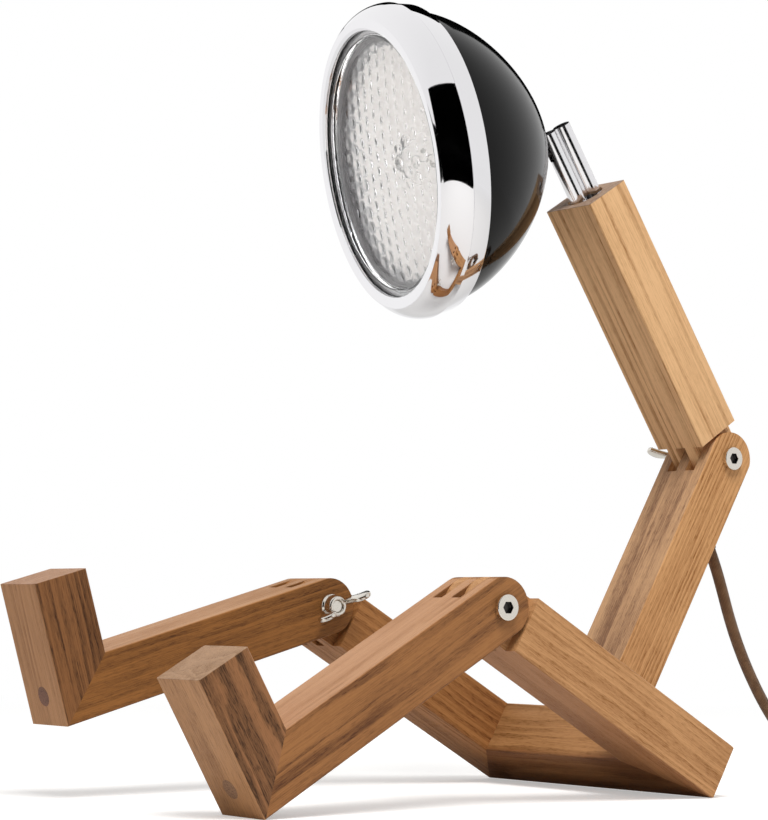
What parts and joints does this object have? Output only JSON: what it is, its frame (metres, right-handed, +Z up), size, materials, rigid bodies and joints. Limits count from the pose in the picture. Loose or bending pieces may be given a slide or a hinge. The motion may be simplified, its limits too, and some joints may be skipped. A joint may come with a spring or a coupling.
{
  "type": "desk lamp",
  "caption": "Sitting wooden figure desk lamp with bolted comb joints at the waist and knees, and a round glossy head that tilts and swivels on a short post.",
  "frame": {"origin": "centre of the seat's underside, in the figure's plane of symmetry", "axes": "+Z up, the figure faces -Y, and its left hand side is +X; the seat leans back by its own tilt about X"},
  "size_m": [0.2407, 0.5581, 0.3903],
  "materials": {
    "seat_wood": "oiled ash",
    "torso_wood": "oiled ash",
    "leg_wood": "oiled ash, browner",
    "dowel_wood": "plain",
    "zinc_steel": "bright zinc",
    "plain_steel": "plain",
    "bush_brass": "turned",
    "chrome": "polished",
    "shell_black": "gloss",
    "gasket_rubber": "matt",
    "lens_glass": "pressed",
    "reflector_aluminium": "polished",
    "holder_black": "moulded",
    "bulb_glass": "frosted",
    "cord_textile": "braided",
    "relief_plastic": "moulded",
    "switch_plastic": "moulded",
    "rocker_plastic": "moulded",
    "tie_plastic": "moulded",
    "pin_brass": "nickelled"
  },
  "bodies": {
    "seat": {"crossbar": "seat_wood", "left_thigh": "seat_wood", "right_thigh": "seat_wood", "seat_dowels": "dowel_wood", "lower_torso": "torso_wood", "waist_bolt": "zinc_steel", "strain_relief": "relief_plastic", "cord_tube": "cord_textile", "cord_coil": "cord_textile", "cord_tie": "tie_plastic", "switch_lead": "cord_textile", "switch_housing": "switch_plastic", "plug_lead": "cord_textile", "plug_body": "switch_plastic", "plug_pins": "pin_brass"},
    "waist_nut": {"waist_wing_nut": "zinc_steel"},
    "torso": {"upper_torso": "torso_wood", "torso_lead": "cord_textile", "neck_bush": "bush_brass"},
    "neck": {"neck_post": "chrome", "neck_circlip": "plain_steel", "tilt_clamp_screw": "plain_steel"},
    "head": {"tilt_ball_stud": "plain_steel", "tilt_nut": "plain_steel", "head_shell": "shell_black", "bezel": "chrome", "lens_gasket": "gasket_rubber", "lens": "lens_glass", "reflector": "reflector_aluminium", "rim_clips": "plain_steel", "lamp_holder": "holder_black", "holder_screws": "plain_steel", "bulb": "bulb_glass"},
    "left_leg": {"left_shin": "leg_wood", "left_foot": "leg_wood", "left_foot_screw": "plain_steel", "left_sole_plug": "dowel_wood", "left_knee_bolt": "zinc_steel"},
    "left_nut": {"left_wing_nut": "zinc_steel"},
    "right_leg": {"right_shin": "leg_wood", "right_foot": "leg_wood", "right_foot_screw": "plain_steel", "right_sole_plug": "dowel_wood", "right_knee_bolt": "zinc_steel"},
    "right_nut": {"right_wing_nut": "zinc_steel"},
    "rocker": {"switch_rocker": "rocker_plastic"}
  },
  "joints": [
    {"name": "waist", "type": "hinge", "parent": "seat", "child": "torso", "pos_m": [0, 0.09325, 0.16151], "axis": [1, 0, 0], "range_deg": [-75, 32]},
    {"name": "left_knee", "type": "hinge", "parent": "seat", "child": "left_leg", "pos_m": [0.06925, -0.11446, 0.08225], "axis": [1, 0, 0], "range_deg": [-60, 35]},
    {"name": "right_knee", "type": "hinge", "parent": "seat", "child": "right_leg", "pos_m": [-0.06925, -0.11446, 0.08225], "axis": [1, 0, 0], "range_deg": [-46, 49]},
    {"name": "head_swivel", "type": "hinge", "parent": "torso", "child": "neck", "pos_m": [0, 0.00692, 0.29444], "axis": [0, -0.5446, 0.8387], "range_deg": [-60, 90]},
    {"name": "head_tilt", "type": "hinge", "parent": "neck", "child": "head", "pos_m": [-0.00112, -0.01198, 0.31555], "axis": [0.9686, -0.2086, -0.1354], "range_deg": [-5, 30]},
    {"name": "waist_nut_turn", "type": "hinge", "parent": "seat", "child": "waist_nut", "pos_m": [-0.02, 0.09325, 0.16151], "axis": [-1, 0, 0], "range_deg": [-90, 90]},
    {"name": "left_nut_turn", "type": "hinge", "parent": "left_leg", "child": "left_nut", "pos_m": [0.04925, -0.11446, 0.08225], "axis": [-1, 0, 0], "range_deg": [-90, 90]},
    {"name": "right_nut_turn", "type": "hinge", "parent": "right_leg", "child": "right_nut", "pos_m": [-0.04925, -0.11446, 0.08225], "axis": [1, 0, 0], "range_deg": [-90, 90]},
    {"name": "switch_rocker", "type": "hinge", "parent": "seat", "child": "rocker", "pos_m": [0.077, 0.137, 0.00487], "axis": [1, 0, 0], "range_deg": [-12, 0]}
  ]
}
